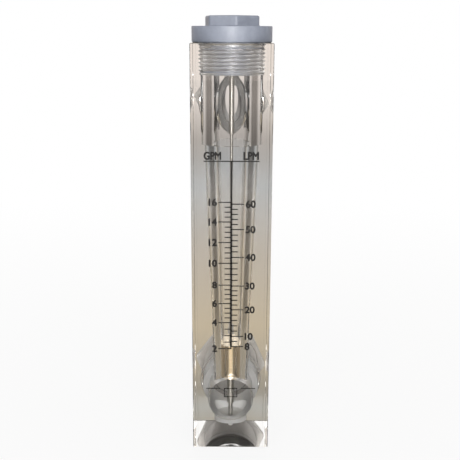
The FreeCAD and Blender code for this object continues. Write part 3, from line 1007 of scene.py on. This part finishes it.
def cast_acrylic():
    """Cast acrylic, machined: polished faces and bore, satin threads and drillings.

    It is clear with a faint warm cast, and the polish leaves a trace of haze in patches.
    """
    material, tree, output = new_material("cast_acrylic")
    place = add_node(tree, "ShaderNodeTexCoord").outputs["Object"]
    # Polishing leaves slow patches of haze about 12.5 mm wide.
    patches = add_node(tree, "ShaderNodeTexNoise", {"Scale": 1 / (12.5 * MM), "Detail": 3.0},
                       {"Vector": place})
    haze = add_node(tree, "ShaderNodeMapRange",
                    {"From Min": 0.35, "From Max": 0.75, "To Min": 0.0, "To Max": 0.02},
                    {"Value": patches.outputs["Fac"]})
    machined, roots = machined_walls(tree, place)
    # Painted shade greys the thread's roots, so its turns show as dark lines.
    tint = add_node(tree, "ShaderNodeValToRGB",
                    {"stops": [(0.0, colour("#FFFFFF")), (1.0, colour("#6A6A70"))]}, {"Fac": roots})
    # Polished walls have the haze alone; the mouth's thread is nearly as satin as the drillings.
    satin = add_node(tree, "ShaderNodeMapRange", {"From Max": 0.35, "To Max": 0.2},
                     {"Value": machined, "To Min": haze.outputs["Result"]})
    # Tool marks scatter part of the light, so a machined wall looks silvery.
    clearness = add_node(tree, "ShaderNodeMapRange", {"To Min": 1.0, "To Max": 0.35}, {"Value": machined})
    body = add_node(tree, "ShaderNodeBsdfPrincipled",
                    {"IOR": ACRYLIC_IOR, "Transmission Weight": 1.0},
                    {"Base Color": tint.outputs["Color"], "Roughness": satin.outputs["Result"],
                     "Transmission Weight": clearness.outputs["Result"]})
    light = add_node(tree, "ShaderNodeLightPath")
    through = lamp_light_through(tree, machined)
    mix = add_node(tree, "ShaderNodeMixShader", None,
                   {0: light.outputs["Is Shadow Ray"], 1: body.outputs[0], 2: through.outputs[0]})
    tree.links.new(mix.outputs[0], output.inputs["Surface"])
    # A thick slab looks faintly straw-coloured: over 60 mm blue falls by about a twenty-fifth.
    depth = add_node(tree, "ShaderNodeVolumeAbsorption", {"Color": colour("#FDF7EC"), "Density": 4.5})
    tree.links.new(depth.outputs[0], output.inputs["Volume"])
    return material


def turned_pvc(name, axis, dark, light):
    """Rigid grey PVC, turned and milled: satin, with fine lathe marks and a slight mottle.

    The marks follow the distance from the axis plus the length along it, so that they are rings on
    a face and hoops on a cylinder.
    """
    # Real marks lie about every 0.1 mm; they are drawn coarser, so that they show.
    mark = 0.35 * MM
    material, tree, output = new_material(name)
    place = add_node(tree, "ShaderNodeTexCoord").outputs["Object"]
    main, port, y, z = axis_distances(tree, place)
    radius, along = (main, z) if axis == "Z" else (port, y)
    marks = add_node(tree, "ShaderNodeMath", {"operation": "ADD"}, {0: radius, 1: along})
    waves = add_node(tree, "ShaderNodeMath", {"operation": "MULTIPLY", 1: 2 * math.pi / mark},
                     {0: marks.outputs[0]})
    ridges = add_node(tree, "ShaderNodeMath", {"operation": "SINE"}, {0: waves.outputs[0]})
    # The compound mixes unevenly, in clouds about 3.8 mm wide.
    mottle = add_node(tree, "ShaderNodeTexNoise",
                      {"Scale": 1 / (3.846 * MM), "Detail": 5.0, "Roughness": 0.6}, {"Vector": place})
    tint = add_node(tree, "ShaderNodeValToRGB",
                    {"stops": [(0.35, colour(dark)), (0.7, colour(light))]},
                    {"Fac": mottle.outputs["Fac"]}).outputs["Color"]
    if axis == "Y":
        # Painted shade: the last 2 mm of the screwed-in end, deep in the port, is darkened.
        painted_shade_end = add_node(tree, "ShaderNodeMath",
                              {"operation": "LESS_THAN", 1: REAR - PORT_LENGTH + 2 * MM}, {0: y})
        tint = add_node(tree, "ShaderNodeMixRGB", {"blend_type": "MULTIPLY", 2: colour("#979593")},
                        {0: painted_shade_end.outputs[0], 1: tint}).outputs[0]
    # Grain of the cut face, 0.67 mm wide; the real one is finer and wouldn't show.
    grain = add_node(tree, "ShaderNodeTexNoise", {"Scale": 1 / (0.66667 * MM), "Detail": 3.0},
                     {"Vector": place})
    sheen = add_node(tree, "ShaderNodeMapRange",
                     {"From Min": 0.3, "From Max": 0.7, "To Min": 0.36, "To Max": 0.48},
                     {"Value": mottle.outputs["Fac"]})
    lathe = add_node(tree, "ShaderNodeBump", {"Strength": 0.25, "Distance": 0.01 * MM},
                     {"Height": ridges.outputs[0]})
    rough = add_node(tree, "ShaderNodeBump", {"Strength": 0.35, "Distance": 0.02 * MM},
                     {"Height": grain.outputs["Fac"], "Normal": lathe.outputs[0]})
    body = add_node(tree, "ShaderNodeBsdfPrincipled", {"IOR": 1.54},
                    {"Base Color": tint, "Roughness": sheen.outputs["Result"],
                     "Normal": rough.outputs[0]})
    tree.links.new(body.outputs[0], output.inputs["Surface"])
    return material


def turned_steel(name, light_code, dark_code, rough_low, rough_high, mark):
    """Stainless steel turned or ground round the Z axis: fine hoops, tone broken along the length.

    mark is the width of a hoop. Real tool marks are about a tenth of it, too fine to show.
    """
    material, tree, output = new_material(name)
    place = add_node(tree, "ShaderNodeTexCoord").outputs["Object"]
    radius, _, _, height = axis_distances(tree, place)
    marks = add_node(tree, "ShaderNodeMath", {"operation": "ADD"}, {0: radius, 1: height})
    hoops = add_node(tree, "ShaderNodeTexNoise",
                     {"noise_dimensions": "1D", "Scale": 1 / mark, "Detail": 4.0, "Roughness": 0.7},
                     {"W": marks.outputs[0]})
    tint = add_node(tree, "ShaderNodeValToRGB",
                    {"stops": [(0.3, colour(dark_code)), (0.7, colour(light_code))]},
                    {"Fac": hoops.outputs["Fac"]})
    rough = add_node(tree, "ShaderNodeMapRange",
                     {"From Min": 0.3, "From Max": 0.7, "To Min": rough_low, "To Max": rough_high},
                     {"Value": hoops.outputs["Fac"]})
    bump = add_node(tree, "ShaderNodeBump", {"Strength": 0.3, "Distance": 0.004 * MM},
                    {"Height": hoops.outputs["Fac"]})
    around = add_node(tree, "ShaderNodeTangent", {"direction_type": "RADIAL", "axis": "Z"})
    body = add_node(tree, "ShaderNodeBsdfPrincipled",
                    {"Metallic": 1.0, "Anisotropic": 0.8, "Anisotropic Rotation": 0.25},
                    {"Base Color": tint.outputs["Color"], "Roughness": rough.outputs["Result"],
                     "Normal": bump.outputs[0], "Tangent": around.outputs[0]})
    tree.links.new(body.outputs[0], output.inputs["Surface"])
    return material


def moulded_rubber():
    """Black moulded EPDM: matt, a little dusty."""
    material, tree, output = new_material("moulded_rubber")
    place = add_node(tree, "ShaderNodeTexCoord").outputs["Object"]
    # Specks of dust and talc about 1.1 mm across; real ones are finer and wouldn't show.
    dust = add_node(tree, "ShaderNodeTexNoise", {"Scale": 1 / (1.1111 * MM), "Detail": 4.0},
                    {"Vector": place})
    tint = add_node(tree, "ShaderNodeValToRGB",
                    {"stops": [(0.4, colour("#17181B")), (0.8, colour("#2B2C30"))]},
                    {"Fac": dust.outputs["Fac"]})
    bump = add_node(tree, "ShaderNodeBump", {"Strength": 0.3, "Distance": 0.02 * MM},
                    {"Height": dust.outputs["Fac"]})
    body = add_node(tree, "ShaderNodeBsdfPrincipled", {"Roughness": 0.55, "IOR": 1.52},
                    {"Base Color": tint.outputs["Color"], "Normal": bump.outputs[0]})
    tree.links.new(body.outputs[0], output.inputs["Surface"])
    return material


def screen_ink():
    """Screen-printed black ink: dense, satin, a little uneven where the mesh left less."""
    material, tree, output = new_material("screen_ink")
    place = add_node(tree, "ShaderNodeTexCoord").outputs["Object"]
    # The film varies over 0.4 mm, some four threads of the screen.
    film = add_node(tree, "ShaderNodeTexNoise", {"Scale": 1 / (0.4 * MM), "Detail": 3.0},
                    {"Vector": place})
    tint = add_node(tree, "ShaderNodeValToRGB",
                    {"stops": [(0.35, colour("#0C0B0A")), (0.75, colour("#191715"))]},
                    {"Fac": film.outputs["Fac"]})
    rough = add_node(tree, "ShaderNodeMapRange",
                     {"From Min": 0.3, "From Max": 0.7, "To Min": 0.45, "To Max": 0.6},
                     {"Value": film.outputs["Fac"]})
    body = add_node(tree, "ShaderNodeBsdfPrincipled", {"Specular IOR Level": 0.2},
                    {"Base Color": tint.outputs["Color"], "Roughness": rough.outputs["Result"]})
    tree.links.new(body.outputs[0], output.inputs["Surface"])
    return material


# ---------------------------------------------------------------- stage, light, camera

def shaded_sides(tree, way, tones, front):
    """Multiply tones by the room's light round the horizon: bright in front and behind, dark between.

    The y part of the level direction runs from -1 in front to 1 behind. front is the share of that
    run which the bright part in front takes. The light behind leaves the tones as they are.
    """
    behind = 0.45
    level = add_node(tree, "ShaderNodeVectorMath", {"operation": "MULTIPLY", 1: (1, 1, 0)}, {0: way})
    turn = add_node(tree, "ShaderNodeVectorMath", {"operation": "NORMALIZE"}, {0: level.outputs[0]})
    split = add_node(tree, "ShaderNodeSeparateXYZ", None, {0: turn.outputs[0]})
    share = add_node(tree, "ShaderNodeMapRange",
                     {"From Min": -1.0, "From Max": 1.0, "To Min": 0.0, "To Max": 1.0},
                     {"Value": split.outputs[1]})
    room = add_node(tree, "ShaderNodeValToRGB", {"stops": [
        (0.0, (1, 1, 1, 1)), (front, (0.9, 0.9, 0.9, 1)), (4 * front, (0.25, 0.25, 0.25, 1)),
        (0.4, (0.14, 0.135, 0.13, 1)), (0.7, (0.16, 0.155, 0.15, 1)), (0.88, (behind, behind, behind, 1)),
        (1.0, (behind, behind, behind, 1))]}, {"Fac": share.outputs["Result"]})
    light = add_node(tree, "ShaderNodeVectorMath", {"operation": "SCALE", "Scale": 1 / behind},
                     {0: room.outputs["Color"]})
    return add_node(tree, "ShaderNodeVectorMath", {"operation": "MULTIPLY"},
                    {0: tones, 1: light.outputs[0]}).outputs[0]


def floor_tones(tree, place, distance):
    """Tones that the floor shows through the acrylic, in rings round the meter: painted light that the
    floor gives off as emission, with painted shade close to the meter.

    Near the meter they are beige grey, then beige, then cool grey, and cream far off. Away from the
    meter they also follow the room's light.
    """
    # Each doubling of the distance takes the same length of the ramp, from 31 mm to 4 m.
    doubled = add_node(tree, "ShaderNodeMath", {"operation": "LOGARITHM", 1: 2.0}, {0: distance})
    share = add_node(tree, "ShaderNodeMapRange",
                     {"From Min": -5.0, "From Max": 2.0, "To Min": 0.0, "To Max": 1.0},
                     {"Value": doubled.outputs[0]})
    tones = add_node(tree, "ShaderNodeValToRGB", {"stops": [
        (0.02, colour("#9A9385")), (0.13, colour("#A3A29C")), (0.22, colour("#9C9588")),
        (0.40, colour("#BDB099")), (0.56, colour("#B4ACA1")), (0.69, colour("#A8AAAB")),
        (0.80, colour("#AFA9A4")), (0.92, colour("#DCD4CE"))]}, {"Fac": share.outputs["Result"]})
    far_tones = shaded_sides(tree, place, tones.outputs["Color"], 0.016)
    # The room's light sets in from 0.08 m to 0.22 m away, and in front already from 0.03 m.
    split = add_node(tree, "ShaderNodeSeparateXYZ", None, {0: place})
    ahead = add_node(tree, "ShaderNodeMath", {"operation": "MULTIPLY", 1: -2.5}, {0: split.outputs[1]})
    reach = add_node(tree, "ShaderNodeMath", {"operation": "MAXIMUM"}, {0: ahead.outputs[0], 1: distance})
    away = add_node(tree, "ShaderNodeMapRange",
                    {"From Min": 0.08, "From Max": 0.22, "To Min": 0.0, "To Max": 1.0},
                    {"Value": reach.outputs[0]})
    return add_node(tree, "ShaderNodeMixRGB", None,
                    {0: away.outputs["Result"], 1: tones.outputs["Color"], 2: far_tones}).outputs[0]


def floor_paper():
    """White paper: all but white to the eye with a faint shadow; through the acrylic it shows painted
    tones.
    """
    material, tree, output = new_material("floor_paper")
    place = add_node(tree, "ShaderNodeTexCoord").outputs["Object"]
    distance = add_node(tree, "ShaderNodeVectorMath", {"operation": "LENGTH"}, {0: place}).outputs["Value"]
    tones = floor_tones(tree, place, distance)
    # Painted light: through the acrylic the floor glows with these tones instead of being lit.
    seen_tones = add_node(tree, "ShaderNodeEmission", {"Strength": 1.0}, {"Color": tones})
    white = add_node(tree, "ShaderNodeEmission", {"Color": colour("#FFFFFF"), "Strength": 1.0})
    paper = add_node(tree, "ShaderNodeBsdfDiffuse", {"Color": colour("#F2F0ED")})
    # The paper's own shading, and so the shadow, shows near the meter and fades out round it.
    whiteness = add_node(tree, "ShaderNodeMapRange",
                         {"From Min": 0.1, "From Max": 0.8, "To Min": 0.88, "To Max": 1.0},
                         {"Value": distance})
    pale = add_node(tree, "ShaderNodeMixShader", None,
                    {0: whiteness.outputs["Result"], 1: paper.outputs[0], 2: white.outputs[0]})
    light = add_node(tree, "ShaderNodeLightPath")
    to_eye = add_node(tree, "ShaderNodeMixShader", None,
                      {0: light.outputs["Is Camera Ray"], 1: paper.outputs[0], 2: pale.outputs[0]})
    through = add_node(tree, "ShaderNodeMixShader", None,
                       {0: light.outputs["Is Transmission Ray"], 1: to_eye.outputs[0],
                        2: seen_tones.outputs[0]})
    tree.links.new(through.outputs[0], output.inputs["Surface"])
    return material


def make_floor():
    """Level square floor under the meter, 8 m wide, a hair below it."""
    half = 4.0
    level = -0.1 * MM
    mesh = bpy.data.meshes.new("floor")
    mesh.from_pydata([(-half, -half, level), (half, -half, level), (half, half, level),
                      (-half, half, level)], [], [(0, 1, 2, 3)])
    mesh.materials.append(floor_paper())
    link_object("floor", mesh)


def make_world():
    """Studio room: white to the eye, and cool grey where it lights the matt faces.

    Metal and acrylic see it white above, cream at the horizon and beige below, darker to the sides.
    """
    world = bpy.data.worlds.new("studio")
    bpy.context.scene.world = world
    world.use_nodes = True
    tree = world.node_tree
    tree.nodes.clear()
    output = add_node(tree, "ShaderNodeOutputWorld")
    way = add_node(tree, "ShaderNodeTexCoord").outputs["Generated"]
    split = add_node(tree, "ShaderNodeSeparateXYZ", None, {0: way})
    height = add_node(tree, "ShaderNodeMapRange",
                      {"From Min": -1.0, "From Max": 1.0, "To Min": 0.0, "To Max": 1.0},
                      {"Value": split.outputs[2]})
    tones = add_node(tree, "ShaderNodeValToRGB", {"stops": [
        (0.3, colour("#B3A995")), (0.46, colour("#DCD4CE")), (0.5, colour("#E0D6CF")),
        (0.56, colour("#F1EDE9")), (0.7, colour("#FBFBFC"))]}, {"Fac": height.outputs["Result"]})
    toned = shaded_sides(tree, way, tones.outputs["Color"], 0.06)
    room = add_node(tree, "ShaderNodeBackground", {"Strength": 1.0}, {"Color": toned})
    white = add_node(tree, "ShaderNodeBackground", {"Color": colour("#FFFFFF"), "Strength": 1.0})
    fill = add_node(tree, "ShaderNodeBackground", {"Color": colour("#E6E8EE"), "Strength": 0.34})
    light = add_node(tree, "ShaderNodeLightPath")
    mirrored = add_node(tree, "ShaderNodeMath", {"operation": "MAXIMUM"},
                        {0: light.outputs["Is Glossy Ray"], 1: light.outputs["Is Transmission Ray"]})
    clear = add_node(tree, "ShaderNodeMixShader", None,
                     {0: mirrored.outputs[0], 1: fill.outputs[0], 2: room.outputs[0]})
    mix = add_node(tree, "ShaderNodeMixShader", None,
                   {0: light.outputs["Is Camera Ray"], 1: clear.outputs[0], 2: white.outputs[0]})
    tree.links.new(mix.outputs[0], output.inputs["Surface"])


def add_lamp(name, place, aim, width, height, power):
    """Soft rectangular lamp turned to a point; sizes in metres, power in watts."""
    lamp = bpy.data.lights.new(name, "AREA")
    lamp.shape = "RECTANGLE"
    lamp.size = width
    lamp.size_y = height
    lamp.energy = power
    holder = link_object(name, lamp)
    turned = (Vector(aim) - Vector(place)).to_track_quat("-Z", "Y")
    holder.matrix_world = Matrix.Translation(place) @ turned.to_matrix().to_4x4()
    return holder


def make_lights():
    """A soft box in front, above the meter's height, two weak ones beside it and one behind.

    The one behind lights the rear fittings and doesn't show through the acrylic.
    """
    middle = (0, 0, 0.15)
    add_lamp("front_box", (0.0, -1.1, 0.40), middle, 0.3, 0.2, 7.5)
    add_lamp("left_box", (-0.5, -0.9, 0.7), middle, 0.3, 0.4, 2.0)
    add_lamp("right_box", (0.5, -0.9, 0.7), middle, 0.3, 0.4, 2.0)
    back = add_lamp("back_box", (0.0, 1.1, 0.6), middle, 0.5, 0.4, 5.0)
    back.visible_transmission = False
    back.visible_glossy = False


def make_camera():
    """Camera in front and a little above the top, looking down at the block with a trace of lean."""
    place = (-0.0008, -0.4905, 0.277)
    tilt = math.radians(14.75)
    lean = math.radians(0.20)
    data = bpy.data.cameras.new("camera")
    data.sensor_width = 36.0
    data.lens = 59.15
    data.clip_start = 0.01
    camera = link_object("camera", data)
    turned = Matrix.Rotation(math.pi / 2 - tilt, 4, "X") @ Matrix.Rotation(lean, 4, "Z")
    camera.matrix_world = Matrix.Translation(place) @ turned
    bpy.context.scene.camera = camera


def set_light_paths():
    """Enough bounces for light to cross the block's bores and threads; no caustics."""
    cycles = bpy.context.scene.cycles
    cycles.max_bounces = 32
    cycles.transmission_bounces = 32
    cycles.glossy_bounces = 12
    cycles.diffuse_bounces = 4
    cycles.transparent_max_bounces = 32
    cycles.caustics_reflective = False
    cycles.caustics_refractive = False


make_camera()
bpy.context.scene.view_settings.view_transform = "Standard"
set_light_paths()
make_world()
make_lights()
make_floor()

# Pale warm grey for the fittings, blue grey for the plug; the fittings are lighter partly as painted
# light, which makes up for the light that the block takes on its way to them.
acrylic = cast_acrylic()
plug_pvc = turned_pvc("turned_pvc_plug", "Z", "#888D99", "#9297A3")
port_pvc = turned_pvc("turned_pvc_fittings", "Y", "#BFBBB6", "#C8C4BF")
# The float's steel is brighter and warmer than the rod's: its warm tint is a painted reflection of the
# warm room. The rod's steel is darkened as painted shade, to dim its highlight.
rod_steel = turned_steel("ground_stainless", "#A8A59F", "#96938D", 0.3, 0.38, 0.6 * MM)
float_steel = turned_steel("turned_stainless", "#EFE0C8", "#DED0B8", 0.15, 0.2, 0.9 * MM)
rubber = moulded_rubber()
ink = screen_ink()

make_block(acrylic)
make_plug(plug_pvc)
make_seal("plug_seal", MOUTH_RADIUS, "plug_o_ring", rubber)
for port, port_z in (("inlet", INLET_Z), ("outlet", OUTLET_Z)):
    make_adapter(port, port_z, port_pvc)
    make_nut(port, port_z, port_pvc)
    make_seal(port + "_seal", PORT_RADIUS, port + "_o_ring", rubber, port_z)
make_rod(rod_steel)
make_sleeve("upper_sleeve", "upper_float_stop", rod_steel)
make_sleeve("lower_sleeve", "lower_float_stop", rod_steel)
make_float(float_steel)
make_scale_lines(ink)
make_scale_numbers(ink)
make_reading_sign(ink)
